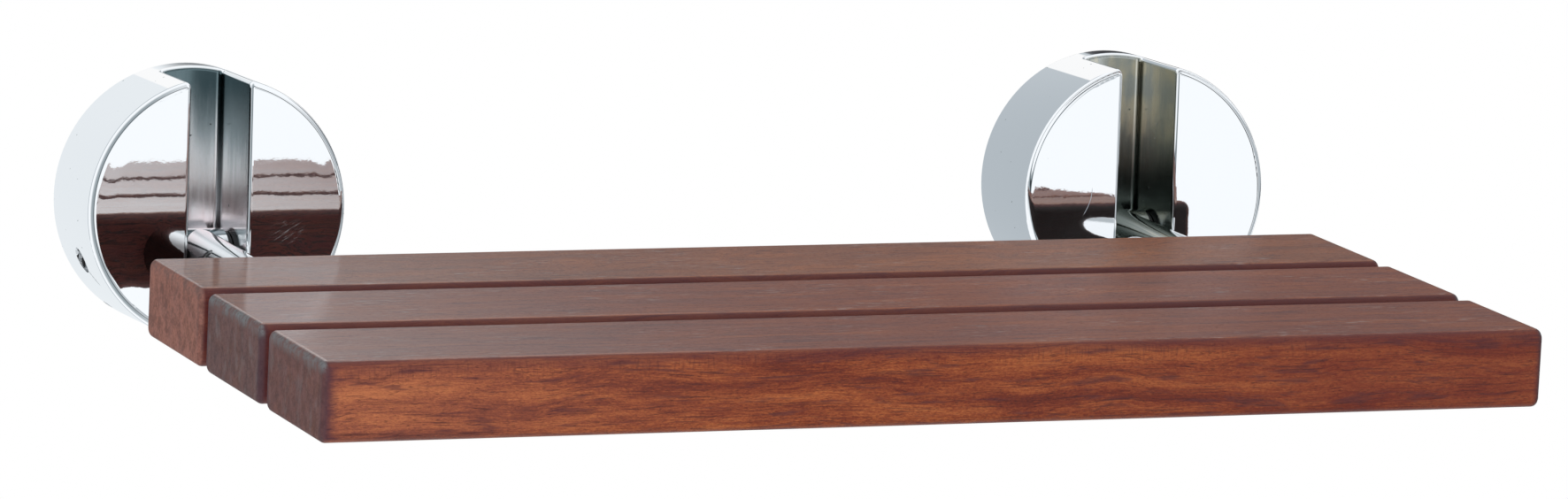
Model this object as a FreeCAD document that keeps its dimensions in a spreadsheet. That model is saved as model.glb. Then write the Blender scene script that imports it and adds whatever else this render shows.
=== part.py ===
# Fold down wall seat: three hardwood slats on two chromed bars that swing in two round wall brackets.
# Millimetres. X runs along the wall to the right, +Y points into the wall, +Z is up.
# The origin lies on the wall, midway between the two brackets, at the height of their centres.

import FreeCAD, Part
import os
import re

import Sketcher
from FreeCAD import Placement, Rotation, Vector

doc = FreeCAD.newDocument("fold_down_wall_seat")

# Driving dimensions: name, value, meaning
SIZES = [
    ("seat_length", 500, "length of each slat along the wall"),
    ("slat_width", 66.5, "front to back width of one slat"),
    ("slat_thickness", 31, "height of a slat"),
    ("slat_gap", 7.5, "open gap between two slats"),
    ("slat_edge_radius", 4, "rounding of the long edges of a slat"),
    ("slat_end_radius", 2.5, "rounding of the edges around a slat's end"),
    ("bracket_spacing", 404, "distance between the centres of the two brackets"),
    ("seat_droop", 2.25, "degrees by which the lowered seat slopes down to its front"),
    ("drum_diameter", 107, "outer diameter of a bracket"),
    ("drum_depth", 50, "how far a bracket stands off the wall"),
    ("rim_wall", 5, "thickness of the drum's round side wall"),
    ("face_wall", 5, "thickness of the drum's mirror face"),
    ("face_edge_radius", 3, "rounding around the mirror face"),
    ("back_edge_radius", 0.8, "rounding around the drum's edge at the wall"),
    ("slot_side_gap", 0.5, "air between the bar and each side of the slot"),
    ("slot_corner_radius", 2, "rounding of the slot's inner corners"),
    ("slot_edge_radius", 1.8, "rounding of the slot's edges at the face and the rim"),
    ("channel_wall", 5, "thickness of the casting at each side of the slot"),
    ("pivot_depth", 26, "distance of the hinge axis behind the mirror face"),
    ("pivot_drop", 22.5, "distance of the hinge axis below the bracket's centre"),
    ("pin_diameter", 10, "diameter of the hinge pin"),
    ("pin_wall", 4, "casting left above and below the hinge pin"),
    ("pin_recess", 4, "depth of the pin's end below the drum's side"),
    ("pin_seat", 12, "how far the pin reaches into the far side of the slot"),
    ("pin_relief", 0.5, "space between the pin's tip and the end of its bore"),
    ("running_gap", 0.05, "radial clearance of the hinge pin"),
    ("rib_back", 12, "distance from the wall to the rib that carries the pin"),
    ("arm_diameter", 23.6, "diameter of the chromed bar"),
    ("arm_length", 86, "distance from the hinge axis to the rear slat"),
    ("arm_back_gap", 1.3, "air between the raised bar and the slot's rear wall"),
    ("eye_width", 20, "width of the bar across the flats at the hinge"),
    ("eye_flat_length", 15, "length of those flats in front of the hinge axis"),
    ("bush_wall", 2, "wall of the plastic sleeve in the bar's eye"),
    ("bush_fit", 0.05, "radial clearance around the sleeve"),
    ("washer_thickness", 2, "thickness of a plastic washer beside the eye"),
    ("washer_diameter", 21, "outer diameter of that washer"),
    ("pad_thickness", 3, "plastic left under the lowered bar at the slot's mouth"),
    ("pad_height", 9, "height of the plastic cradle"),
    ("pad_length", 14, "front to back length of the cradle"),
    ("pad_fit", 0.2, "clearance between the cradle and the slot's sides"),
    ("pad_gap", 0.3, "clearance between the cradle and the lowered bar"),
    ("seat_rise", 16.8, "height of the seat's top above the bar's axis"),
    ("rod_diameter", 12, "diameter of the threaded rod through the slats"),
    ("rod_grip", 54, "how far the rod reaches into the bar"),
    ("rod_end", 3, "how far the rod stands out of the barrel nut"),
    ("rod_fit", 0.15, "radial clearance of the rod in the bar and in the nut"),
    ("rod_chamfer", 1, "chamfer at the ends of the rod"),
    ("slat_bore_fit", 0.3, "radial clearance of the rod in the slats"),
    ("bore_relief", 2, "space past the end of the rod"),
    ("nut_diameter", 18, "diameter of the barrel nut"),
    ("nut_length", 24, "length of the barrel nut"),
    ("nut_inset", 34, "distance of the nut's axis from the front slat's rear face"),
    ("nut_fit", 0.2, "clearance around the barrel nut"),
    ("nut_slot", 2.5, "width and depth of the barrel nut's driver slot"),
    ("spacer_diameter", 22, "outer diameter of the rings between the slats"),
    ("arm_screw_place", 37.5, "distance of the bar's set screw from the hinge axis"),
    ("arm_screw_angle", 45, "degrees by which that screw leans outwards from upright"),
    ("arm_screw_sink", 0.6, "depth of that screw below the bar's surface"),
    ("set_screw_diameter", 5, "diameter of the screws that hold the rod and the pin"),
    ("lock_screw_diameter", 4, "diameter of the screws in the drum's rim"),
    ("lock_screw_angle", 35, "degrees of the rim screws to each side of straight down"),
    ("lock_screw_sink", 0.5, "depth of the rim screws below the drum's side"),
    ("screw_hole_fit", 0.1, "radial clearance around the set screws"),
    ("socket_share", 0.3, "radius of a screw's hexagon socket as a share of the screw's diameter"),
    ("socket_depth_share", 0.5, "depth of that socket as a share of the screw's length"),
    ("plate_thickness", 7, "thickness of the wall plate"),
    ("plate_fit", 0.3, "radial clearance between the plate and the drum"),
    ("plate_gap", 0.3, "clearance between the plate and the casting in front of it"),
    ("wall_hole_spacing", 46, "spacing of the plate's four screw holes, both ways"),
    ("wall_hole_diameter", 5.5, "diameter of those holes"),
    ("countersink_diameter", 11, "diameter of their countersinks"),
]

sheet = doc.addObject("Spreadsheet::Sheet", "sizes")
for row, (alias, number, meaning) in enumerate(SIZES, start=1):
    sheet.set("A%d" % row, meaning)
    sheet.set("B%d" % row, str(number))
    sheet.setAlias("B%d" % row, alias)
doc.recompute()

ALIASES = {alias for alias, number, meaning in SIZES}

SIDES = (("left", -1), ("right", 1))
SLATS = ("rear_slat", "middle_slat", "front_slat")
LAST_SLAT = len(SLATS) - 1
TOLERANCE = 1e-4

# Places and sizes that follow from the driving dimensions
DRUM_RADIUS = "(drum_diameter / 2)"
CAVITY_RADIUS = "(drum_diameter / 2 - rim_wall)"
PLATE_RADIUS = "(drum_diameter / 2 - rim_wall - plate_fit)"
PLATE_SPACE = "(plate_thickness + plate_gap)"
ARM_RADIUS = "(arm_diameter / 2)"
SLOT_HALF = "(arm_diameter / 2 + slot_side_gap)"
SLOT_BACK = "(drum_depth - pivot_depth - arm_diameter / 2 - arm_back_gap)"
CRADLE_RADIUS = "(arm_diameter / 2 + pad_gap)"
LOWERED_BAR = "(" + CRADLE_RADIUS + " / cos(seat_droop) + pivot_depth * tan(seat_droop))"
SLOT_FLOOR = "(-pivot_drop - " + LOWERED_BAR + " - pad_thickness)"
CHANNEL_HALF = "(" + SLOT_HALF + " + channel_wall)"
PIVOT_PLACE = "(pivot_depth - drum_depth)"
PIN_BORE = "(pin_diameter + 2 * running_gap)"
PIN_START = "(sqrt(" + DRUM_RADIUS + " ^ 2 - pivot_drop ^ 2) - pin_recess)"
BUSH_DIAMETER = "(" + PIN_BORE + " + 2 * bush_wall)"
SLAT_PITCH = "(slat_width + slat_gap)"
SLAT_BOTTOM = "(seat_rise - slat_thickness)"
NUT_PLACE = "(arm_length + %d * %s + nut_inset)" % (LAST_SLAT, SLAT_PITCH)
ROD_START = "(arm_length - rod_grip)"
ROD_STOP = "(" + NUT_PLACE + " + nut_diameter / 2 + rod_end)"
SCREW_HOLE = "(set_screw_diameter + 2 * screw_hole_fit)"

nodes = []


def sized(expression):
    """Puts the sheet's name before each of its sizes in an expression."""
    def full_name(word):
        return "sizes." + word.group() if word.group() in ALIASES else word.group()

    return re.sub(r"[a-z_]+", full_name, expression)


def value(expression):
    """The present value of an expression on the sheet's sizes."""
    return float(sheet.evalExpression(sized(expression)))


def bind(piece, **expressions):
    """Ties properties of an object to expressions; a double underscore in a name stands for a dot."""
    for path, expression in expressions.items():
        piece.setExpression(path.replace("__", "."), sized(expression))


def place_at(piece, across="0", back="0", up="0", axis=(0, 0, 1), angle="0"):
    """Gives an object a Placement whose place and turn are tied to the sheet."""
    piece.Placement = Placement(Vector(), Rotation(Vector(*axis), 1))
    bind(piece, Placement__Base__x=across, Placement__Base__y=back, Placement__Base__z=up,
         Placement__Rotation__Angle=angle)


# Sketches and features

def new_body(label):
    body = doc.addObject("PartDesign::Body", label)
    body.Label = label
    nodes.append(body)
    return body


def new_sketch(body, role, offset="0", turn="0"):
    """A sketch on one of the body's origin planes, moved along its normal or turned about its upright."""
    plane = next(part for part in body.Origin.OriginFeatures if part.Role == role)
    sketch = body.newObject("Sketcher::SketchObject", body.Name + "_sketch")
    sketch.AttachmentSupport = (plane, [""])
    sketch.MapMode = "FlatFace"
    sketch.AttachmentOffset = Placement(Vector(), Rotation(Vector(0, 1, 0), 1))
    bind(sketch, AttachmentOffset__Base__z=offset, AttachmentOffset__Rotation__Angle=turn)
    return sketch


def constrain(sketch, expression, kind, *where):
    """Adds one measured constraint and ties it to an expression."""
    index = sketch.addConstraint(Sketcher.Constraint(kind, *where, value(expression)))
    name = "size_%d" % index
    sketch.renameConstraint(index, name)
    sketch.setExpression("Constraints." + name, sized(expression))


def draw_circle(sketch, across, up, diameter):
    centre = Vector(value(across), value(up), 0)
    circle = sketch.addGeometry(Part.Circle(centre, Vector(0, 0, 1), value(diameter) / 2))
    constrain(sketch, across, "DistanceX", -1, 1, circle, 3)
    constrain(sketch, up, "DistanceY", -1, 1, circle, 3)
    constrain(sketch, diameter, "Diameter", circle)


def draw_polygon(sketch, corners):
    """A closed outline of straight lines through corners given as pairs of expressions."""
    points = [Vector(value(across), value(up), 0) for across, up in corners]
    lines = []
    for start, stop in zip(points, points[1:] + points[:1]):
        lines.append(sketch.addGeometry(Part.LineSegment(start, stop)))
    for line, following in zip(lines, lines[1:] + lines[:1]):
        sketch.addConstraint(Sketcher.Constraint("Coincident", line, 2, following, 1))
    for line, (across, up) in zip(lines, corners):
        constrain(sketch, across, "DistanceX", -1, 1, line, 1)
        constrain(sketch, up, "DistanceY", -1, 1, line, 1)


def draw_rectangle(sketch, left, right, low, high):
    draw_polygon(sketch, [(left, low), (right, low), (right, high), (left, high)])


def pad(body, sketch, length, symmetric=False):
    feature = body.newObject("PartDesign::Pad", body.Name + "_pad")
    feature.Profile = sketch
    bind(feature, Length=length)
    feature.SideType = "Symmetric" if symmetric else "One side"
    doc.recompute()
    return feature


def pocket(body, sketch, length, symmetric=False, along_normal=False):
    """Cuts a sketch out of the body, against the sketch's normal unless along_normal says otherwise."""
    before = body.Shape.Volume
    feature = body.newObject("PartDesign::Pocket", body.Name + "_pocket")
    feature.Profile = sketch
    bind(feature, Length=length)
    feature.SideType = "Symmetric" if symmetric else "One side"
    feature.Reversed = along_normal
    doc.recompute()
    if body.Shape.Volume > before - TOLERANCE:
        raise ValueError("a pocket of %s cuts nothing" % body.Label)
    return feature


def edges_where(feature, test):
    return ["Edge%d" % number for number, edge in enumerate(feature.Shape.Edges, start=1) if test(edge)]


def dress(body, kind, feature, test, amount):
    """Rounds or chamfers the edges of a feature that pass a test."""
    names = edges_where(feature, test)
    if not names:
        raise ValueError("no edge to dress on %s" % body.Label)
    dressed = body.newObject("PartDesign::" + kind, body.Name + "_" + kind.lower())
    dressed.Base = (feature, names)
    bind(dressed, **{"Radius" if kind == "Fillet" else "Size": amount})
    doc.recompute()
    return dressed


def is_circle(edge, radius, back):
    """True for a circle about a line along Y, with this radius, at this distance from the wall."""
    curve = edge.Curve
    if not isinstance(curve, Part.Circle) or abs(abs(curve.Axis.y) - 1) > TOLERANCE:
        return False
    right_radius = abs(curve.Radius - value(radius)) < TOLERANCE
    return right_radius and abs(curve.Center.y + value(back)) < TOLERANCE


def is_line_along(edge, axis):
    """True for a straight edge along the X, Y or Z axis, given as a letter."""
    if not isinstance(edge.Curve, Part.Line):
        return False
    return abs(abs(getattr(edge.Curve.Direction, axis)) - 1) < TOLERANCE


# Plain solids

def cylinder(name, diameter, length):
    """A cylinder from the origin up along its own Z."""
    solid = doc.addObject("Part::Cylinder", name)
    bind(solid, Radius="(%s) / 2" % diameter, Height=length)
    return solid


def cut(name, base, tool):
    result = doc.addObject("Part::Cut", name)
    result.Base = base
    result.Tool = tool
    return result


def ring(name, outer, inner, length):
    outside = cylinder(name + "_outside", outer, length)
    return cut(name, outside, cylinder(name + "_bore", inner, length))


def socket_screw(name, diameter, length):
    """A headless screw with a hexagon socket at its far end."""
    socket = doc.addObject("Part::Prism", name + "_socket")
    socket.Polygon = 6
    bind(socket, Circumradius="(%s) * socket_share" % diameter,
         Height="(%s) * socket_depth_share" % length,
         Placement__Base__z="(%s) * (1 - socket_depth_share)" % length)
    return cut(name, cylinder(name + "_shank", diameter, length), socket)


def group(name, solids):
    """Identical pieces that share one node."""
    compound = doc.addObject("Part::Compound", name)
    compound.Links = solids
    return compound


def finish_node(piece, label):
    piece.Label = label
    nodes.append(piece)
    return piece


def put_on_seat(piece, across="0"):
    """Moves a piece of the folding part from the frame of the hinge axis to its place on the wall."""
    place_at(piece, across, PIVOT_PLACE, "-pivot_drop", (1, 0, 0), "seat_droop")


# The bracket: a chromed casting, hollow behind, with the slot of the bar let into its face and its top

def make_drum(label, side):
    body = new_body(label)

    outline = new_sketch(body, "XZ_Plane")
    draw_circle(outline, "0", "0", "drum_diameter")
    disc = pad(body, outline, "drum_depth")
    rounded = dress(body, "Fillet", disc,
                    lambda edge: is_circle(edge, DRUM_RADIUS, "drum_depth"), "face_edge_radius")
    dress(body, "Fillet", rounded,
          lambda edge: is_circle(edge, DRUM_RADIUS, "0"), "back_edge_radius")

    cavity = new_sketch(body, "XZ_Plane")
    draw_circle(cavity, "0", "0", "2 * " + CAVITY_RADIUS)
    pocket(body, cavity, "drum_depth - face_wall", along_normal=True)

    channel = new_sketch(body, "XZ_Plane", PLATE_SPACE)
    reach = "(%s + sqrt(%s ^ 2 - %s ^ 2)) / 2" % (CAVITY_RADIUS, DRUM_RADIUS, CHANNEL_HALF)
    draw_rectangle(channel, "-" + CHANNEL_HALF, CHANNEL_HALF, "-(%s)" % reach, reach)
    pad(body, channel, "drum_depth - face_wall / 2 - " + PLATE_SPACE)

    rib = new_sketch(body, "XZ_Plane", "rib_back")
    rib_low = "(-pivot_drop - pin_diameter / 2 - pin_wall)"
    rib_high = "(-pivot_drop + pin_diameter / 2 + pin_wall)"
    rib_end = "sqrt((drum_diameter / 2 - rim_wall / 2) ^ 2 - %s ^ 2)"
    draw_polygon(rib, [("-" + rib_end % rib_low, rib_low), (rib_end % rib_low, rib_low),
                       (rib_end % rib_high, rib_high), ("-" + rib_end % rib_high, rib_high)])
    pad(body, rib, "drum_depth - face_wall / 2 - rib_back")

    slot = new_sketch(body, "XY_Plane", SLOT_FLOOR)
    draw_rectangle(slot, "-" + SLOT_HALF, SLOT_HALF, "-2 * drum_depth", "-" + SLOT_BACK)
    slotted = pocket(body, slot, "drum_diameter", along_normal=True)

    def is_inner_corner(edge):
        middle = edge.CenterOfMass
        return (is_line_along(edge, "z") and abs(middle.y + value(SLOT_BACK)) < TOLERANCE
                and abs(abs(middle.x) - value(SLOT_HALF)) < TOLERANCE)

    def is_slot_mouth(edge):
        middle = edge.CenterOfMass
        return (is_line_along(edge, "z") and abs(middle.y + value("drum_depth")) < TOLERANCE
                and abs(abs(middle.x) - value(SLOT_HALF)) < TOLERANCE)

    cornered = dress(body, "Fillet", slotted, is_inner_corner, "slot_corner_radius")
    dress(body, "Fillet", cornered, is_slot_mouth, "slot_edge_radius")

    bore = new_sketch(body, "YZ_Plane", "%d * drum_diameter / 2" % side)
    draw_circle(bore, PIVOT_PLACE, "-pivot_drop", PIN_BORE)
    pocket(body, bore, "%s + %s + pin_seat" % (DRUM_RADIUS, SLOT_HALF), along_normal=side < 0)

    pin_lock = new_sketch(body, "XZ_Plane", PLATE_SPACE)
    draw_circle(pin_lock, "%d * (%s + pin_seat / 2)" % (-side, SLOT_HALF), "-pivot_drop", SCREW_HOLE)
    pocket(body, pin_lock, "-%s - %s" % (PIVOT_PLACE, PLATE_SPACE), along_normal=True)

    for lean in (-1, 1):
        rim_lock = new_sketch(body, "XY_Plane", turn="%d * lock_screw_angle" % lean)
        draw_circle(rim_lock, "0", "-plate_thickness / 2", "lock_screw_diameter + 2 * screw_hole_fit")
        pocket(body, rim_lock, "drum_diameter")

    place_at(body, across="%d * bracket_spacing / 2" % side)


# The wall plate inside the bracket, screwed to the wall through four countersunk holes

def make_plate(label, side):
    body = new_body(label)
    outline = new_sketch(body, "XZ_Plane")
    draw_circle(outline, "0", "0", "2 * " + PLATE_RADIUS)
    for across in (-1, 1):
        for up in (-1, 1):
            draw_circle(outline, "%d * wall_hole_spacing / 2" % across,
                        "%d * wall_hole_spacing / 2" % up, "wall_hole_diameter")
    plate = pad(body, outline, "plate_thickness")
    dress(body, "Chamfer", plate,
          lambda edge: is_circle(edge, "wall_hole_diameter / 2", "plate_thickness"),
          "(countersink_diameter - wall_hole_diameter) / 2")
    place_at(body, across="%d * bracket_spacing / 2" % side)


def make_drum_lock_screws(label, side):
    """The grub screws in the underside of the rim, which press on the plate's edge."""
    length = "(%s - lock_screw_sink - %s)" % (DRUM_RADIUS, PLATE_RADIUS)
    screws = []
    for place, lean in SIDES:
        screw = socket_screw(label + "_" + place, "lock_screw_diameter", length)
        angle = "(180 + %d * lock_screw_angle)" % lean
        across = "%d * bracket_spacing / 2 + %s * sin(%s)" % (side, PLATE_RADIUS, angle)
        up = "%s * cos(%s)" % (PLATE_RADIUS, angle)
        place_at(screw, across, "-plate_thickness / 2", up, (0, 1, 0), angle)
        screws.append(screw)
    finish_node(group(label, screws), label)


# The hinge: a pin across the slot, held by a grub screw from behind

def make_pivot_pin(label, side):
    length = "%s + %s + pin_seat - pin_relief" % (PIN_START, SLOT_HALF)
    pin = socket_screw(label, "pin_diameter", length)
    place_at(pin, "%d * (bracket_spacing / 2 - %s - pin_seat + pin_relief)" % (side, SLOT_HALF),
             PIVOT_PLACE, "-pivot_drop", (0, 1, 0), "%d * 90" % side)
    finish_node(pin, label)


def make_pin_lock_screw(label, side):
    length = "(-%s - pin_diameter / 2 - running_gap - rib_back)" % PIVOT_PLACE
    screw = socket_screw(label, "set_screw_diameter", length)
    place_at(screw, "%d * (bracket_spacing / 2 - %s - pin_seat / 2)" % (side, SLOT_HALF),
             "-rib_back - " + length, "-pivot_drop", (1, 0, 0), "-90")
    finish_node(screw, label)


def make_pivot_bush(label, side):
    bush = ring(label, BUSH_DIAMETER, PIN_BORE, "eye_width")
    place_at(bush, "%d * bracket_spacing / 2 - eye_width / 2" % side,
             PIVOT_PLACE, "-pivot_drop", (0, 1, 0), "90")
    finish_node(bush, label)


def make_thrust_washers(label, side):
    washers = []
    for place, start in (("inner", "-eye_width / 2 - washer_thickness"), ("outer", "eye_width / 2")):
        washer = ring(label + "_" + place, "washer_diameter", PIN_BORE, "washer_thickness")
        place_at(washer, "%d * bracket_spacing / 2 + %s" % (side, start),
                 PIVOT_PLACE, "-pivot_drop", (0, 1, 0), "90")
        washers.append(washer)
    finish_node(group(label, washers), label)


# The cradle at the bottom of the slot, hollowed to the lowered bar

def make_stop_pad(label, side):
    block = doc.addObject("Part::Box", label + "_block")
    bind(block, Length="2 * (%s - pad_fit)" % SLOT_HALF, Width="pad_length", Height="pad_height")
    place_at(block, "-(%s - pad_fit)" % SLOT_HALF, "slot_edge_radius - drum_depth", SLOT_FLOOR)
    hollow = cylinder(label + "_hollow", "2 * " + CRADLE_RADIUS, "drum_depth")
    place_at(hollow, "0", PIVOT_PLACE, "-pivot_drop", (1, 0, 0), "90 + seat_droop")
    cradle = cut(label, block, hollow)
    place_at(cradle, "%d * bracket_spacing / 2" % side)
    finish_node(cradle, label)


# The bar: round, flattened at the hinge, drilled at its end for the rod.
# It is drawn about the hinge axis, as is all that folds

def make_arm(label, side):
    body = new_body(label)

    eye = new_sketch(body, "YZ_Plane")
    draw_circle(eye, "0", "0", "arm_diameter")
    pad(body, eye, "eye_width", symmetric=True)

    shaft = new_sketch(body, "XZ_Plane")
    draw_circle(shaft, "0", "0", "arm_diameter")
    pad(body, shaft, "arm_length")

    flats = new_sketch(body, "XY_Plane")
    draw_rectangle(flats, "-arm_diameter", "-eye_width / 2", "-eye_flat_length", "arm_diameter")
    draw_rectangle(flats, "eye_width / 2", "arm_diameter", "-eye_flat_length", "arm_diameter")
    pocket(body, flats, "2 * arm_diameter", symmetric=True)

    eye_bore = new_sketch(body, "YZ_Plane")
    draw_circle(eye_bore, "0", "0", BUSH_DIAMETER + " + 2 * bush_fit")
    pocket(body, eye_bore, "2 * arm_diameter", symmetric=True)

    rod_hole = new_sketch(body, "XZ_Plane", "arm_length")
    draw_circle(rod_hole, "0", "0", "rod_diameter + 2 * rod_fit")
    pocket(body, rod_hole, "rod_grip + bore_relief")

    screw_hole = new_sketch(body, "XY_Plane", turn="%d * arm_screw_angle" % side)
    draw_circle(screw_hole, "0", "-arm_screw_place", SCREW_HOLE)
    pocket(body, screw_hole, "arm_diameter", along_normal=True)

    put_on_seat(body, "%d * bracket_spacing / 2" % side)


def make_arm_set_screw(label, side):
    """The screw that locks the rod in the bar, sunk in the bar's upper outer flank."""
    length = "(%s - arm_screw_sink - rod_diameter / 2)" % ARM_RADIUS
    screw = socket_screw(label + "_screw", "set_screw_diameter", length)
    angle = "%d * arm_screw_angle" % side
    across = "rod_diameter / 2 * sin(%s)" % angle
    up = "rod_diameter / 2 * cos(%s)" % angle
    place_at(screw, across, "-arm_screw_place", up, (0, 1, 0), angle)
    seated = group(label, [screw])
    put_on_seat(seated, "%d * bracket_spacing / 2" % side)
    finish_node(seated, label)


def make_tie_rod(label, side):
    body = new_body(label)
    section = new_sketch(body, "XZ_Plane", ROD_START)
    draw_circle(section, "0", "0", "rod_diameter")
    rod = pad(body, section, "%s - %s" % (ROD_STOP, ROD_START))
    dress(body, "Chamfer", rod, lambda edge: isinstance(edge.Curve, Part.Circle), "rod_chamfer")
    put_on_seat(body, "%d * bracket_spacing / 2" % side)


def make_barrel_nut(label, side):
    body = new_body(label)
    section = new_sketch(body, "XY_Plane")
    draw_circle(section, "0", "-" + NUT_PLACE, "nut_diameter")
    pad(body, section, "nut_length", symmetric=True)
    thread = new_sketch(body, "XZ_Plane", NUT_PLACE)
    draw_circle(thread, "0", "0", "rod_diameter + 2 * rod_fit")
    pocket(body, thread, "2 * nut_diameter", symmetric=True)
    driver = new_sketch(body, "XY_Plane", "-nut_length / 2")
    draw_rectangle(driver, "-nut_diameter", "nut_diameter",
                   "-%s - nut_slot / 2" % NUT_PLACE, "-%s + nut_slot / 2" % NUT_PLACE)
    pocket(body, driver, "nut_slot", along_normal=True)
    put_on_seat(body, "%d * bracket_spacing / 2" % side)


def make_slat_spacers(label, side):
    spacers = []
    for number in range(1, len(SLATS)):
        spacer = ring("%s_%d" % (label, number), "spacer_diameter",
                      "rod_diameter + 2 * slat_bore_fit", "slat_gap")
        place_at(spacer, "0", "-arm_length - %d * %s + slat_gap" % (number, SLAT_PITCH), "0",
                 (1, 0, 0), "90")
        spacers.append(spacer)
    seated = group(label, spacers)
    put_on_seat(seated, "%d * bracket_spacing / 2" % side)
    finish_node(seated, label)


# The slats: solid hardwood, rounded all round, drilled for the two rods

def make_slat(label, number):
    """One slat; number counts from the wall, and the last is drilled only as deep as the rods reach."""
    body = new_body(label)
    rear = "(arm_length + %d * %s)" % (number, SLAT_PITCH)
    section = new_sketch(body, "YZ_Plane")
    draw_rectangle(section, "-%s - slat_width" % rear, "-" + rear, SLAT_BOTTOM, "seat_rise")
    board = pad(body, section, "seat_length", symmetric=True)
    rounded = dress(body, "Fillet", board, lambda edge: is_line_along(edge, "x"), "slat_edge_radius")

    def is_end_edge(edge):
        return abs(abs(edge.CenterOfMass.x) - value("seat_length / 2")) < TOLERANCE

    dress(body, "Fillet", rounded, is_end_edge, "slat_end_radius")

    bores = new_sketch(body, "XZ_Plane", rear)
    for side in (-1, 1):
        draw_circle(bores, "%d * bracket_spacing / 2" % side, "0", "rod_diameter + 2 * slat_bore_fit")
    blind_depth = "%s + bore_relief - %s" % (ROD_STOP, rear)
    pocket(body, bores, blind_depth if number == LAST_SLAT else "slat_width", along_normal=True)
    if number == LAST_SLAT:
        nuts = new_sketch(body, "XY_Plane", SLAT_BOTTOM)
        for side in (-1, 1):
            draw_circle(nuts, "%d * bracket_spacing / 2" % side, "-" + NUT_PLACE,
                        "nut_diameter + 2 * nut_fit")
        pocket(body, nuts, "nut_length / 2 + nut_fit - " + SLAT_BOTTOM, along_normal=True)
    put_on_seat(body)


for prefix, side in SIDES:
    make_drum(prefix + "_bracket_drum", side)
    make_plate(prefix + "_wall_plate", side)
    make_drum_lock_screws(prefix + "_drum_lock_screws", side)
    make_pivot_pin(prefix + "_pivot_pin", side)
    make_pin_lock_screw(prefix + "_pin_lock_screw", side)
    make_stop_pad(prefix + "_stop_pad", side)
    make_pivot_bush(prefix + "_pivot_bush", side)
    make_thrust_washers(prefix + "_thrust_washers", side)
    make_arm(prefix + "_arm", side)
    make_arm_set_screw(prefix + "_arm_set_screw", side)
    make_tie_rod(prefix + "_tie_rod", side)
    make_barrel_nut(prefix + "_barrel_nut", side)
    make_slat_spacers(prefix + "_slat_spacers", side)

for number, label in enumerate(SLATS):
    make_slat(label, number)

doc.recompute()

# Nothing is written unless every object and every solid is sound
for item in doc.Objects:
    if "Invalid" in item.State or "Error" in item.State:
        raise ValueError("%s is %s" % (item.Label, item.State))
for node in nodes:
    if node.Shape.isNull() or not node.Shape.isValid():
        raise ValueError("%s has no sound shape" % node.Label)

os.makedirs("parts", exist_ok=True)
for node in nodes:
    node.Shape.exportStep("parts/%s.step" % node.Label)
    print("%-26s %d solid(s) %10.0f mm3" % (node.Label, len(node.Shape.Solids), node.Shape.Volume))
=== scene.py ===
import math

import bmesh
import bpy
from mathutils import Matrix, Vector


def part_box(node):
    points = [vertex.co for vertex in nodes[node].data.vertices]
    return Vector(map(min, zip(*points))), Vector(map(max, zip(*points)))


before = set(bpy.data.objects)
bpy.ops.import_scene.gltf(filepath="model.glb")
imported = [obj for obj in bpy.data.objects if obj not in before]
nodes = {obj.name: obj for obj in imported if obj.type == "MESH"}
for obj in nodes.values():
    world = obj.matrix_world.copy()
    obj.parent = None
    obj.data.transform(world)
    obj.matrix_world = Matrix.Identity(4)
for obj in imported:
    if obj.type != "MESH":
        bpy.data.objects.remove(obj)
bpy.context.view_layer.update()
scene = bpy.context.scene
scene.view_settings.view_transform = "Standard"


# The camera stands left of the seat and a little above it, a few metres off, and looks
# through a long lens, so that the slats stay almost parallel. It leans by two degrees.
PICTURE_WIDTH = 1772
FOCAL_PIXELS = 9928.3
SENSOR = 36.0
CAMERA_PLACE = Vector((-1.2848, -3.3495, 0.4754))
CAMERA_YAW, CAMERA_PITCH, CAMERA_ROLL = (math.radians(a) for a in (21.89, 7.94, 1.91))

sight = Vector((math.sin(CAMERA_YAW) * math.cos(CAMERA_PITCH),
                math.cos(CAMERA_YAW) * math.cos(CAMERA_PITCH), -math.sin(CAMERA_PITCH)))
level = Vector((math.cos(CAMERA_YAW), -math.sin(CAMERA_YAW), 0))
upright = level.cross(sight)
camera_right = level * math.cos(CAMERA_ROLL) + upright * math.sin(CAMERA_ROLL)
camera_up = upright * math.cos(CAMERA_ROLL) - level * math.sin(CAMERA_ROLL)

lens = bpy.data.cameras.new("camera")
lens.sensor_width = SENSOR
lens.lens = FOCAL_PIXELS / PICTURE_WIDTH * SENSOR
camera = bpy.data.objects.new("camera", lens)
camera.matrix_world = Matrix.Translation(CAMERA_PLACE) @ Matrix(
    (camera_right, camera_up, -sight)).transposed().to_4x4()
scene.collection.objects.link(camera)
scene.camera = camera


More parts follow.
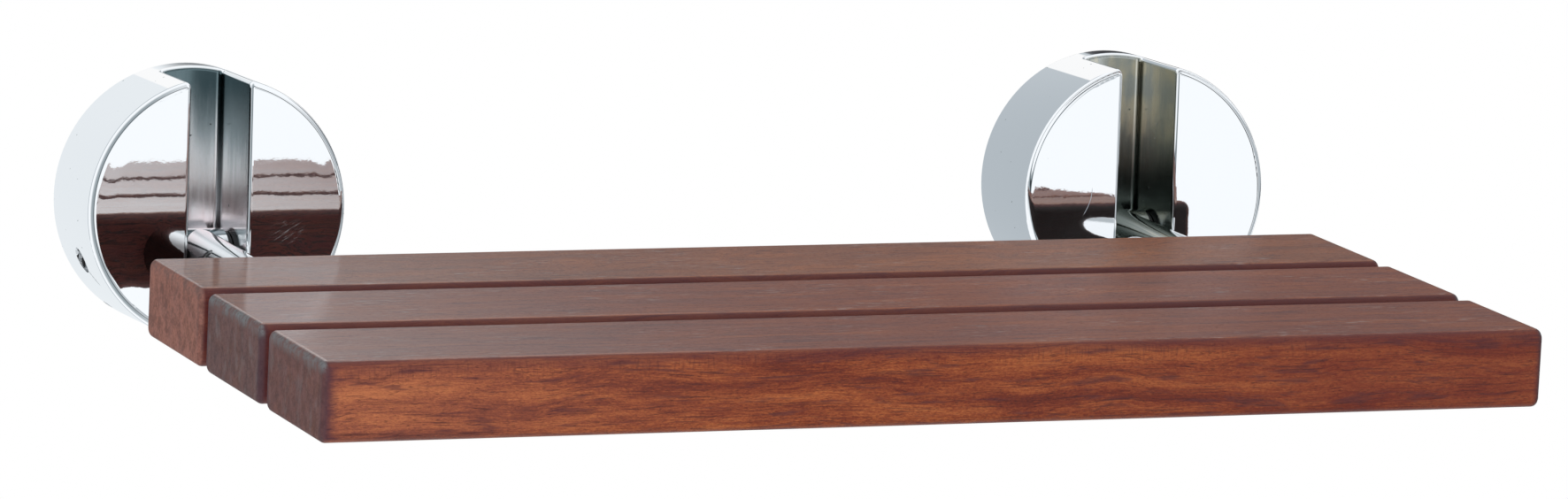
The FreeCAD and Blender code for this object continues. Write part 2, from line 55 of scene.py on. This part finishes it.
# The bracket drums are zinc castings, polished and chromed: a mirror in front, a smoother
# glow on the round side, and the blurred, streaky polish that a wheel leaves in a narrow slot.
class Wire:
    """One socket of a finish's nodes. Sums with it add Math nodes to the same finish."""

    def __init__(self, tree, socket=None):
        self.tree, self.socket = tree, socket

    def node(self, kind, settings=None, sockets=None, out=0):
        """Adds a node: its settings first, then the values or wires of its sockets."""
        made = self.tree.nodes.new("ShaderNode" + kind)
        for name, setting in (settings or {}).items():
            if name == "stops":
                ramp = made.color_ramp
                while len(ramp.elements) < len(setting):
                    ramp.elements.new(1.0)
                for element, (place, colour) in zip(ramp.elements, setting):
                    element.position = place
                    element.color = (*colour, 1)
            else:
                setattr(made, name, setting)
        for name, content in (sockets or {}).items():
            if isinstance(content, Wire):
                self.tree.links.new(content.socket, made.inputs[name])
            else:
                made.inputs[name].default_value = content
        return Wire(self.tree, made.outputs[out] if made.outputs else None)

    def math(self, operation, *values):
        return self.node("Math", {"operation": operation}, dict(enumerate(values)))

    def __add__(self, other):
        return self.math("ADD", self, other)

    def __radd__(self, other):
        return self.math("ADD", other, self)

    def __sub__(self, other):
        return self.math("SUBTRACT", self, other)

    def __rsub__(self, other):
        return self.math("SUBTRACT", other, self)

    def __mul__(self, other):
        return self.math("MULTIPLY", self, other)

    def __rmul__(self, other):
        return self.math("MULTIPLY", other, self)

    def __truediv__(self, other):
        return self.math("DIVIDE", self, other)

    def __abs__(self):
        return self.math("ABSOLUTE", self)

    def __or__(self, other):
        """The larger of two: one mask or the other."""
        return self.math("MAXIMUM", self, other)

    def parts(self):
        """The three numbers of a vector."""
        split = self.node("SeparateXYZ", None, {0: self})
        outputs = split.socket.node.outputs
        return [Wire(self.tree, outputs[number]) for number in range(3)]

    def rise(self, low, high):
        """0 below low and 1 above high, with a smooth step between; low may be the larger."""
        return self.node("MapRange", {"interpolation_type": "SMOOTHSTEP"},
                         {0: self, 1: low, 2: high})

    def scaled(self, x, y, z, shift=(0, 0, 0)):
        """The vector with each of its numbers multiplied, then moved."""
        return self.node("VectorMath", {"operation": "MULTIPLY_ADD"},
                         {0: self, 1: (x, y, z), 2: shift})

    def length(self):
        return self.node("VectorMath", {"operation": "LENGTH"}, {0: self}, out=1)

    def noise(self, scale=1.0, detail=2.0, roughness=0.5):
        return self.node("TexNoise", None, {"Vector": self, "Scale": scale, "Detail": detail,
                                            "Roughness": roughness})

    def tinted(self, other, share):
        """This colour, turned into another one by a share."""
        sockets = {0: share}
        for place, colour in ((6, self), (7, other)):
            sockets[place] = colour if isinstance(colour, Wire) else (*colour, 1)
        return self.node("Mix", {"data_type": "RGBA"}, sockets, out=2)

    def colour(self, rgb):
        """A plain colour as a wire, to tint."""
        return self.node("CombineColor", None, dict(enumerate(rgb)))


def new_finish(name):
    """A material with nothing in it but its Principled shader; gives both."""
    material = bpy.data.materials.new(name)
    material.use_nodes = True
    tree = material.node_tree
    tree.nodes.clear()
    shader = tree.nodes.new("ShaderNodeBsdfPrincipled")
    output = tree.nodes.new("ShaderNodeOutputMaterial")
    tree.links.new(shader.outputs[0], output.inputs[0])
    return material, Wire(tree), shader


def feed(start, shader, **wires):
    """Joins wires to the shader's sockets, or sets plain values on them."""
    for name, content in wires.items():
        socket = shader.inputs[name.replace("_", " ")]
        if isinstance(content, Wire):
            start.tree.links.new(content.socket, socket)
        else:
            socket.default_value = content


def place_in_mm(start, place, turn=0.0):
    """Where a point of the piece lies, in millimetres from a place of the frame. A turn about
    X takes the seat's slope out."""
    found = start.node("TexCoord", None, None, out=3)
    return found.node("Mapping", {"vector_type": "TEXTURE"},
                      {"Vector": found, "Location": place, "Rotation": (turn, 0, 0),
                       "Scale": (0.001, 0.001, 0.001)})


def bumped(start, height, depth):
    """A normal bent by a height; depth in metres."""
    return start.node("Bump", None, {"Height": height, "Distance": depth, "Strength": 1.0})


CHROME = (0.93, 0.94, 0.95)
BARE_CASTING = (0.33, 0.335, 0.34)
OLD_POLISH, SCRATCH, PIT = (0.62, 0.59, 0.49), (0.52, 0.57, 0.66), (0.22, 0.25, 0.25)
FACE, FACE_BACK, SLOT_BACK = -50.0, -45.4, -9.2    # millimetres from the wall
DRUM_RADIUS, HOLLOW_RADIUS = 53.5, 48.7
SLOT_HALF, RIB_HALF = 12.3, 13.4
BUMP = 0.016    # millimetres of height for 1 in the height wire


def chrome_finish(name, centre, slot_reflections, smeared, lean, marks):
    """The drum's plating, about the centre of its back. Each painted reflection in the slot is a
    colour and the heights between which it grows; smeared is how much old polish clings to it,
    lean how far the face is out of square, and marks adds this drum's own scratches."""
    material, start, shader = new_finish(name)
    spot = place_in_mm(start, centre)
    across, back, up = spot.parts()
    off_middle = abs(across)
    from_axis = spot.scaled(1, 0, 1).length()
    on_face = back.rise(FACE + 1.4, FACE + 0.4)
    in_slot = off_middle.rise(SLOT_HALF + 0.25, SLOT_HALF + 0.05)
    in_slot = in_slot * from_axis.rise(DRUM_RADIUS - 0.4, DRUM_RADIUS - 1.2)
    on_wall = off_middle.rise(SLOT_HALF - 0.7, SLOT_HALF - 0.3)
    beside_slot = off_middle.rise(RIB_HALF - 0.2, RIB_HALF + 0.2)
    behind_slot = back.rise(SLOT_BACK - 0.2, SLOT_BACK + 0.2)
    hidden = (back.rise(FACE_BACK - 0.2, FACE_BACK + 0.2)
              * from_axis.rise(HOLLOW_RADIUS + 0.1, HOLLOW_RADIUS) * (beside_slot | behind_slot))

    waves = spot.noise(0.075, 5, 0.5)
    rolled = from_axis.rise(43, 50) * -3.0
    leant = up * (-math.tan(math.radians(lean)) / BUMP)
    streaks = spot.scaled(1.2, 0.7, 0.05).noise(1.0, 3)
    smears = spot.scaled(0.06, 0.06, 0.05, (4, 9, 2)).noise(1.0, 3)
    specks = spot.noise(0.33, 2).rise(0.745, 0.775) * (1 - on_face)
    pale, dark = marks(start, spot, across, back, up)
    dark = dark | specks
    height = (waves * 1.5 + rolled + leant) * on_face + streaks * in_slot * 0.25
    rough = (0.012 + 0.02 * smears + in_slot * (0.08 + streaks * 0.12) + hidden * 0.5
             + pale * 0.35 + dark * 0.3)

    wander = spot.scaled(0.35, 0.25, 0.035, (6, 2, 8)).noise(1.0, 4, 0.6)
    clouds = spot.scaled(0.10, 0.10, 0.06, (1, 7, 3)).noise(1.0, 3)
    tone = start.colour(CHROME)
    climb = up + wander * 20 - 10 + on_wall * 17
    # Painted reflections in the slot: the dark, pink and grey bands stand in for what its walls mirror.
    for slot_reflection, least, most in slot_reflections:
        tone = tone.tinted(slot_reflection, in_slot * climb.rise(least, most))
    polish = in_slot * up.rise(2, 26) * (clouds + wander * 0.5).rise(0.66, 0.84) * smeared
    tone = tone.tinted(OLD_POLISH, polish)
    tone = tone.tinted(SCRATCH, pale).tinted(PIT, dark)
    tone = tone.tinted(BARE_CASTING, hidden)
    feed(start, shader, Base_Color=tone, Roughness=rough, Metallic=1 - pale * 0.55,
         Normal=bumped(start, height, BUMP / 1000))
    return material


def left_marks(start, spot, across, back, up):
    """Fine scratches low on the right half of the face, and a gouge that leaves the pin's hole."""
    patch_across, patch_up, patch_wide, patch_tall = 29, -9, 9, 6
    hatch = start.node("CombineXYZ", None, {0: across * 0.12 + up * 0.10,
                                            1: up * 1.6 - across * 0.9, 2: 3.0}).noise(1.0, 3, 0.6)
    patch = spot.scaled(1 / patch_wide, 0, 1 / patch_tall,
                        (-patch_across / patch_wide, 0, -patch_up / patch_tall)).length()
    fine = hatch.rise(0.54, 0.64) * patch.rise(1.1, 0.4) * 0.3
    gouge_back, gouge_up = -27.5, -26.5
    off_hole, below = back - gouge_back, up - gouge_up
    run = 0 - off_hole * 0.70 - below * 0.71
    aside = abs(below * 0.70 - off_hole * 0.71) + spot.noise(0.9, 3) * 1.6
    gouge = aside.rise(1.5, 0.9) * run.rise(-0.6, 0.2) * run.rise(8, 6) * across.rise(-30, -40)
    return fine, gouge


def right_marks(start, spot, across, back, up):
    """One hair scratch, a little bent, on the left half of the face, and a nick in its rim."""
    hair_across, bend_up = -25.6, -4
    from_bend = up - bend_up
    line = abs(across - hair_across - from_bend * 0.36 + from_bend * from_bend * 0.03)
    hair = line.rise(0.17, 0.07) * up.rise(-10, -7) * up.rise(3, 0) * back.rise(-49, -49.5)
    nick = (-45, -49, 15)
    to_nick = spot.scaled(1, 1, 1, [-number for number in nick]).length()
    return hair, to_nick.rise(1.1, 0.7)


# Each drum's slot gets its own painted reflections: a colour and the heights between which it grows.
for side, slot_reflections, smeared, lean, marks in (
        ("left", [((1.0, 0.86, 0.87), 8, -14), ((0.135, 0.190, 0.205), 14, 49)],
         0.0, 0.0, left_marks),
        ("right", [((0.165, 0.190, 0.175), -60, -50), ((0.46, 0.48, 0.455), -8, 40)],
         0.8, 1.7, right_marks)):
    low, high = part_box(side + "_bracket_drum")
    middle = ((low[0] + high[0]) / 2, 0, 0)
    nodes[side + "_bracket_drum"].material_slots[0].material = chrome_finish(
        side + "_drum_chrome", middle, slot_reflections, smeared, lean, marks)


# The seat's two arms are round bars with the same plating, turned and polished along
# their length. The left one has a painted dark reflection low on its outer flank.
SEAT_SLOPE = math.radians(2.25)
HALF_SPACING = 0.202
PIVOT_BACK, PIVOT_UP = -0.024, -0.0225
ARM_PAINTED_REFLECTION = (0.060, 0.048, 0.050)


def arm_finish(name, place, dark_reflection_share):
    """A bar's plating, about its hinge pin; the last argument is how much painted dark reflection its
    outer flank carries.
    """
    material, start, shader = new_finish(name)
    spot = place_in_mm(start, place, SEAT_SLOPE)
    across, _, up = spot.parts()
    outer_flank = across.rise(3, -3) * up.rise(11.5, 7)
    # Painted dark reflection on the outer flank, standing in for the dark slat that the bar mirrors.
    tone = start.colour(CHROME).tinted(ARM_PAINTED_REFLECTION, outer_flank * dark_reflection_share)
    lines = spot.scaled(0.7, 0.04, 0.7).noise(1.0, 3)
    smears = spot.scaled(0.08, 0.05, 0.08).noise(1.0, 2)
    feed(start, shader, Base_Color=tone, Metallic=1.0,
         Roughness=0.03 + 0.05 * smears, Normal=bumped(start, lines, 0.00001))
    return material


for side, sign, dark_reflection_share in (("left", -1, 1.0), ("right", 1, 0.0)):
    nodes[side + "_arm"].material_slots[0].material = arm_finish(
        side + "_arm_chrome", (sign * HALF_SPACING, PIVOT_BACK, PIVOT_UP), dark_reflection_share)


# The wall plates, pins, rods, nuts and grub screws are zinc plated or stainless steel,
# turned on a lathe and a little dull.
STEEL, DULL_STEEL = (0.50, 0.505, 0.51), (0.36, 0.35, 0.33)


def steel_finish(name, place):
    material, start, shader = new_finish(name)
    spot = place_in_mm(start, place)
    from_axis = spot.scaled(1, 0, 1).length()
    turned = start.node("CombineXYZ", None, {0: from_axis * 2.2, 1: 0.0, 2: 0.0}).noise(1.0, 3)
    dull = spot.noise(0.09, 3)
    tone = start.colour(STEEL).tinted(DULL_STEEL, dull.rise(0.45, 0.75) * 0.6)
    feed(start, shader, Base_Color=tone, Metallic=1.0,
         Roughness=0.26 + 0.16 * dull + 0.08 * turned, Normal=bumped(start, turned, 0.00002))
    return material


for side, sign in (("left", -1), ("right", 1)):
    finish = steel_finish(side + "_steel", (sign * HALF_SPACING, 0, 0))
    for piece in ("wall_plate", "drum_lock_screws", "pivot_pin", "pin_lock_screw",
                  "arm_set_screw", "tie_rod", "barrel_nut"):
        nodes[side + "_" + piece].material_slots[0].material = finish


# The sleeve and washers of the hinge, the cradle under the lowered bar and the rings
# between the slats are dark grey nylon, turned or moulded, with a soft shine.
NYLON, PALER_NYLON = (0.035, 0.037, 0.04), (0.07, 0.072, 0.075)
nylon, start, shader = new_finish("dark_nylon")
spot = place_in_mm(start, (0, 0, 0))
grain = spot.noise(2.5, 3)
cloud = spot.noise(0.15, 2)
feed(start, shader, Base_Color=start.colour(NYLON).tinted(PALER_NYLON, cloud.rise(0.35, 0.75)),
     Roughness=0.42 + 0.15 * grain, Normal=bumped(start, grain, 0.00004))
for side in ("left", "right"):
    for piece in ("pivot_bush", "thrust_washers", "stop_pad", "slat_spacers"):
        nodes[side + "_" + piece].material_slots[0].material = nylon


# The three slats are solid reddish brown hardwood, planed, rounded over and oiled. The grain runs
# along them, with dark streaks and open pores; their ends have dried to a duller grey-brown.
HALF_LENGTH, HALF_WIDTH, HALF_THICK = 250, 33.25, 15.5
GRAIN_STOPS = (
    (0.36, (0.075, 0.011, 0.007)), (0.45, (0.160, 0.025, 0.009)),
    (0.52, (0.275, 0.062, 0.018)), (0.60, (0.430, 0.125, 0.036)))
LEFT_PAINTED_SHEEN, RIGHT_PAINTED_SHADE = (0.52, 0.27, 0.20), (0.16, 0.022, 0.012)
SMUDGE, STREAK, PORE = (0.075, 0.018, 0.022), (0.060, 0.012, 0.012), (0.045, 0.012, 0.010)
GAP_PAINTED_SHADE, REAR_STREAK_AND_SHADE, REAR_PAINTED_SHADE = (0.080, 0.016, 0.018), (0.012, 0.005, 0.004), (0.012, 0.006, 0.005)
FRONT_EDGE_PAINTED_SHADE, RIPPLE, CORNER = (0.080, 0.017, 0.022), (0.055, 0.010, 0.012), (0.060, 0.016, 0.028)
END_CORNER, END_BLOOM = (0.055, 0.022, 0.032), (0.19, 0.185, 0.190)
WORN_GREY, WORN_DARK, WORN_PALE_AND_GLINT = (0.21, 0.225, 0.235), (0.045, 0.038, 0.042), (0.52, 0.48, 0.47)
SCUFF = (0.50, 0.44, 0.42)


def front_tone(tone, spot, seed, upper, speckle, smudge, broad):
    """The front slat's front face: painted shade on its rounded upper edge, cutter marks below it and a
    dark corner.
    """
    along, back, up = spot.parts()
    ripple = spot.scaled(1 / 0.9, 1 / 9, 1 / 7, (seed, 6, 6)).noise(1.0, 2)
    face = back.rise(1.2 - HALF_WIDTH, 0.3 - HALF_WIDTH)
    edge = (up + speckle * 2 + smudge * 7).rise(HALF_THICK - 1.5, HALF_THICK + 3.0)
    edge = edge * (1 - upper) * back.rise(4.2 - HALF_WIDTH, 3.2 - HALF_WIDTH)
    marks = ripple.rise(0.52, 0.66) * up.rise(HALF_THICK - 10, HALF_THICK - 4) * broad.rise(0.42, 0.60)
    left_corner = (smudge * 8 - along).rise(HALF_LENGTH - 4, HALF_LENGTH + 3)
    # Painted shade along the rounded upper edge of the front face.
    tone = tone.tinted(FRONT_EDGE_PAINTED_SHADE, edge * 0.5)
    tone = tone.tinted(RIPPLE, marks * face * 0.35)
    return tone.tinted(CORNER, face * left_corner * 0.8)


def end_tone(tone, start, spot, seed, upper, dry_end, worn):
    """The end grain: dry and mottled, dark at the corners, greyed and chipped along its top edge."""
    along, back, up = spot.parts()
    to_end = abs(along)
    end_face = to_end.rise(HALF_LENGTH - 2.2, HALF_LENGTH - 0.6)
    mottle = spot.scaled(0.22, 0.22, 0.16, (seed, 5, 5)).noise(1.0, 5, 0.68)
    fleck = spot.scaled(0.9, 0.9, 0.9, (seed, 2, 7)).noise(1.0, 3, 0.65)
    bloom = spot.scaled(0.13, 0.16, 0.10, (seed, 1, 9)).noise(1.0, 4, 0.6)
    damp_end = [number * 0.42 for number in dry_end]
    dry = start.colour(dry_end).tinted(damp_end, (mottle * 0.6 + fleck * 0.4).rise(0.38, 0.62))
    dry = dry.tinted(END_BLOOM, bloom.rise(0.50, 0.68) * worn * 0.45)
    tone = tone.tinted(dry, end_face * 0.85)
    corner = (to_end.rise(HALF_LENGTH - 4, HALF_LENGTH - 1)
              * (abs(back) + mottle * 4).rise(HALF_WIDTH - 3.5, HALF_WIDTH + 0.5))
    tone = tone.tinted(END_CORNER, corner * worn * 0.8)
    worn_band = (end_face * (up + mottle * 6).rise(HALF_THICK - 3.0, HALF_THICK + 2.6)
                 * (mottle + fleck * 0.4).rise(0.52, 0.78))
    tone = tone.tinted(WORN_GREY, worn_band * worn)
    tone = tone.tinted(WORN_DARK, worn_band * fleck.rise(0.46, 0.38) * worn)
    # A pale line along the end's top edge: wear, and partly a painted highlight.
    end_edge = upper * to_end.rise(HALF_LENGTH - 2.6, HALF_LENGTH - 1.6) * fleck.rise(0.35, 0.55)
    return tone.tinted(WORN_PALE_AND_GLINT, end_edge * 0.35), end_face


def hardwood_finish(name, node, pith, sway, seed, top_tone, dry_end, worn, front):
    """One slat's wood. The pith is where the tree's centre lies in the slat's cross section,
    sway is how far the grain wanders, and worn is how grey the upper end edges are."""
    material, start, shader = new_finish(name)
    low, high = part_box(node)
    spot = place_in_mm(start, [(a + b) / 2 for a, b in zip(low, high)], SEAT_SLOPE)
    along, back, up = spot.parts()

    flow = (spot.scaled(1 / 80, 1 / 35, 1 / 35, (seed, 0, 0)).noise(1.0, 2) - 0.5) * sway
    grain = start.node("CombineXYZ", None, {0: along, 1: back + flow, 2: up + flow})
    from_pith = start.node("CombineXYZ", None, {0: back - pith[0] + along * pith[2] + flow,
                                                1: up - pith[1] + flow, 2: 0.0}).length()
    rings = start.node("CombineXYZ", None, {0: from_pith * 0.30, 1: along * 0.005, 2: seed}
                       ).noise(1.0, 3, 0.6)
    broad = grain.scaled(1 / 60, 1 / 9, 1 / 9, (seed, 3, 8)).noise(1.0, 3, 0.55)
    speckle = grain.scaled(1 / 1.4, 1 / 0.5, 1 / 0.5, (2, seed, 5)).noise(1.0, 3, 0.7)
    fibre = grain.scaled(1 / 9, 1 / 0.5, 1 / 0.5, (3, 1, seed)).noise(1.0, 2, 0.6)
    smudge = grain.scaled(1 / 24, 1 / 2.6, 1 / 2.6, (9, 5, seed)).noise(1.0, 4, 0.62)
    lines = grain.scaled(1 / 45, 1 / 0.6, 1 / 0.6, (seed, 8, 4)).noise(1.0, 2, 0.5)
    pores = grain.scaled(1 / 2.2, 1 / 0.28, 1 / 0.28, (seed, 1, 1)).noise(1.0, 1)

    depth = rings * 0.24 + broad * 0.30 + speckle * 0.26 + fibre * 0.20
    upper = up.rise(HALF_THICK - 0.5, HALF_THICK - 0.1)
    tone = depth.node("ValToRGB", {"stops": GRAIN_STOPS}, {0: depth})
    tone = tone.tinted(top_tone, upper * 0.45)
    # Painted sheen: a pale veil towards the left end, stronger on the top.
    tone = tone.tinted(LEFT_PAINTED_SHEEN, along.rise(-40, -270) * (0.12 + 0.16 * upper))
    # Painted shade: the sides grow darker and redder towards the right end.
    tone = tone.tinted(RIGHT_PAINTED_SHADE, along.rise(-40, 230) * 0.5 * (1 - upper))
    tone = tone.tinted(SMUDGE, (smudge + speckle * 0.15).rise(0.62, 0.74) * (0.62 - 0.12 * upper))
    tone = tone.tinted(STREAK, lines.rise(0.57, 0.69) * 0.65)
    tone = tone.tinted(PORE, pores.rise(0.60, 0.72) * 0.55)

    # Painted shade on the faces that look into the gaps between the slats.
    in_gap = abs(back).rise(HALF_WIDTH - 3.6, HALF_WIDTH - 2.6) * (1 - upper)
    if front:
        in_gap = in_gap * back.rise(-1, 1)
        tone = front_tone(tone, spot, seed, upper, speckle, smudge, broad)
    tone = tone.tinted(GAP_PAINTED_SHADE, in_gap * 0.8)
    # Painted shade on the side towards the wall: near-black along its grain lines, darker towards the
    # right end.
    wall_side = back.rise(HALF_WIDTH - 2, HALF_WIDTH - 0.5)
    tone = tone.tinted(REAR_STREAK_AND_SHADE, wall_side * lines.rise(0.49, 0.60) * 0.75)
    tone = tone.tinted(REAR_PAINTED_SHADE, wall_side * along.rise(-100, 120) * 0.95)
    tone, end_face = end_tone(tone, start, spot, seed, upper, dry_end, worn)

    scuffs = spot.scaled(1 / 9, 1 / 0.8, 1 / 0.8, (seed, 4, 9)).noise(1.0, 3, 0.6)
    clusters = spot.scaled(1 / 45, 1 / 20, 1 / 20, (seed, 9, 1)).noise(1.0, 2)
    tone = tone.tinted(SCUFF, scuffs.rise(0.58, 0.70) * clusters.rise(0.47, 0.60) * upper * 0.7)

    rough = 0.36 + 0.10 * broad + 0.12 * pores.rise(0.55, 0.7) + end_face * 0.2 + speckle * 0.06
    polish = upper * (0.82 * along.rise(60, -260)) * (1.3 - 0.6 * broad)
    height = speckle * 0.7 + fibre * 0.5 - pores.rise(0.56, 0.70) - lines.rise(0.60, 0.70) * 0.6
    feed(start, shader, Base_Color=tone, Roughness=rough, Specular_IOR_Level=0.3,
         Coat_Weight=polish, Coat_Roughness=0.14, Normal=bumped(start, height, 0.00004))
    return material


for node, pith, sway, seed, top_tone, dry_end, worn, front in (
        ("rear_slat", (-20, -42, 0.02), 44, 1.7,
         (0.40, 0.175, 0.090), (0.400, 0.178, 0.138), 0.15, False),
        ("middle_slat", (60, -30, 0.0), 18, 12.4,
         (0.30, 0.095, 0.050), (0.140, 0.080, 0.080), 0.9, False),
        ("front_slat", (46, 38, 0.004), 10, 23.9,
         (0.27, 0.085, 0.048), (0.150, 0.072, 0.068), 0.7, True)):
    nodes[node].material_slots[0].material = hardwood_finish(
        node + "_wood", node, pith, sway, seed, top_tone, dry_end, worn, front)


# The studio: a pale floor at the height at which such a seat hangs, and white all round.
# Metal sees what a photographer's studio has: a pool of light on the backdrop, a white
# panel above it, greyer walls at both sides, and a dark ring round the camera's place.
FLOOR_DROP, FLOOR_RADIUS = 0.46, 1.5
mesh = bpy.data.meshes.new("studio_floor")
shape = bmesh.new()
bmesh.ops.create_circle(shape, cap_ends=True, segments=96, radius=FLOOR_RADIUS,
                        matrix=Matrix.Translation((0, 0, -FLOOR_DROP)))
shape.to_mesh(mesh)
shape.free()
floor = bpy.data.objects.new("studio_floor", mesh)
scene.collection.objects.link(floor)
floor.visible_glossy = False    # metal sees the world below instead, which has no edge

floor_paint = bpy.data.materials.new("floor_paint")
floor_paint.use_nodes = True
start = Wire(floor_paint.node_tree)
start.tree.nodes.clear()


def seen_directly(start):
    """1 for the camera and for what metal mirrors, 0 for the light that falls on things."""
    path = start.node("LightPath").socket.node.outputs
    seen = Wire(start.tree, path["Is Camera Ray"])
    for name in ("Is Glossy Ray", "Is Transmission Ray"):
        seen = seen | Wire(start.tree, path[name])
    return seen


FLOOR_GLOW = 0.85
FLOOR_MATT, FLOOR_WHITE = (0.8, 0.8, 0.8, 1), (1.04, 1.04, 1.04, 1)
matt = start.node("BsdfDiffuse", None, {"Color": FLOOR_MATT})
glow = start.node("Emission", None, {"Color": FLOOR_WHITE})
paint = start.node("MixShader", None, {0: seen_directly(start) * FLOOR_GLOW, 1: matt, 2: glow})
start.node("OutputMaterial", None, {0: paint})
floor.data.materials.append(floor_paint)

world = bpy.data.worlds.new("studio")
scene.world = world
world.use_nodes = True
start = Wire(world.node_tree)
start.tree.nodes.clear()
direction = start.node("TexCoord", None, None, out=0)


def toward(azimuth, elevation):
    """A direction: azimuth 0 is away from the wall, and it grows to the right."""
    a, e = math.radians(azimuth), math.radians(elevation)
    return (math.sin(a) * math.cos(e), -math.cos(a) * math.cos(e), math.sin(e))


def near(centre, inner, outer, tall=1.0):
    """1 within an angle of a direction, 0 beyond a larger one; tall stretches the patch upwards."""
    flattened = direction.scaled(1, 1, 1 / tall)
    seen = flattened.node("VectorMath", {"operation": "NORMALIZE"}, {0: flattened})
    middle = Vector((centre[0], centre[1], centre[2] / tall)).normalized()
    along = seen.node("VectorMath", {"operation": "DOT_PRODUCT"}, {0: seen, 1: middle}, out=1)
    return along.rise(math.cos(math.radians(outer)), math.cos(math.radians(inner)))


BACKDROP, POOL, POOL_EDGE = (1.00, 1.03, 1.06), (0.84, 0.88, 0.91), (0.46, 0.51, 0.55)
LEFT_ROOM, RIGHT_ROOM, ROOM_IN_FRONT = (0.34, 0.39, 0.42), (0.45, 0.49, 0.52), (0.50, 0.54, 0.57)
DARK_CARD, CAMERA_RING, DARK_STRIP = (0.05, 0.05, 0.055), (0.04, 0.05, 0.055), (0.03, 0.04, 0.05)

right, back, up = direction.parts()
lit = start.colour(BACKDROP)
pool = start.colour(POOL_EDGE).tinted(POOL, near(toward(179, 0), 19, 26))
lit = lit.tinted(pool, near(toward(179, 0), 34, 46))
lit = lit.tinted(DARK_CARD, near(toward(151, 8), 5, 17) * up.rise(0.25, 0.23))
sideways = right / back
panel = (back.rise(0.1, 0.12) * sideways.rise(0.12, 0.13)
         * sideways.rise(0.36, 0.34) * up.rise(0.24, 0.26))
lit = lit.tinted((1, 1, 1), panel)
at_left = back.rise(0.25, -0.5) * back.rise(-0.90, -0.84) * right.rise(0.25, -0.35)
lit = lit.tinted(LEFT_ROOM, at_left)
at_right = back.rise(0.4, 0.1) * back.rise(-0.68, -0.55) * right.rise(0.1, 0.4)
lit = lit.tinted(RIGHT_ROOM, at_right * up.rise(0.6, 0.25))
in_front = (right.rise(0.1, 0.2) * up.rise(0.08, 0.2)) | up.rise(-0.25, -0.33)
lit = lit.tinted(ROOM_IN_FRONT, in_front * back.rise(-0.84, -0.88))
lit = lit.tinted(CAMERA_RING, back.rise(-0.83, -0.79) * back.rise(-0.69, -0.73))
lit = lit.tinted(DARK_STRIP, near(toward(110, 5), 11, 16, 2.5))

# Light that falls on the seat: most from the camera's side, some from above, little from the wall.
FROM_WALL, FROM_CAMERA, FROM_ABOVE = (0.03, 0.032, 0.034), (0.80, 0.80, 0.79), (0.60, 0.61, 0.62)
path = start.node("LightPath").socket.node.outputs
fill = start.colour(FROM_WALL).tinted(FROM_CAMERA, back.rise(0.2, -0.8))
fill = fill.tinted(FROM_ABOVE, up.rise(0.45, 0.95))
mirrored = Wire(start.tree, path["Is Glossy Ray"])
after_matt = Wire(start.tree, path["Diffuse Depth"]).rise(0, 1)
lit = fill.tinted(lit, mirrored * (1 - after_matt))
lit = lit.tinted((1, 1, 1), Wire(start.tree, path["Is Camera Ray"]))
start.node("OutputWorld", None, {0: start.node("Background", None, {0: lit, 1: 1.0})})

LAMPS = (("key", (-1.1, -1.3, 0.15), 1.0, 11), ("fill", (1.6, -2.0, 0.5), 1.6, 5))
LAMP_AIM = Vector((0, -0.15, 0))
for name, place, size, watts in LAMPS:
    lamp = bpy.data.lights.new(name, "AREA")
    lamp.shape, lamp.size, lamp.energy = "SQUARE", size, watts
    holder = bpy.data.objects.new(name, lamp)
    holder.location = place
    holder.rotation_euler = (LAMP_AIM - Vector(place)).to_track_quat("-Z", "Y").to_euler()
    holder.visible_camera = False
    holder.visible_glossy = False
    scene.collection.objects.link(holder)
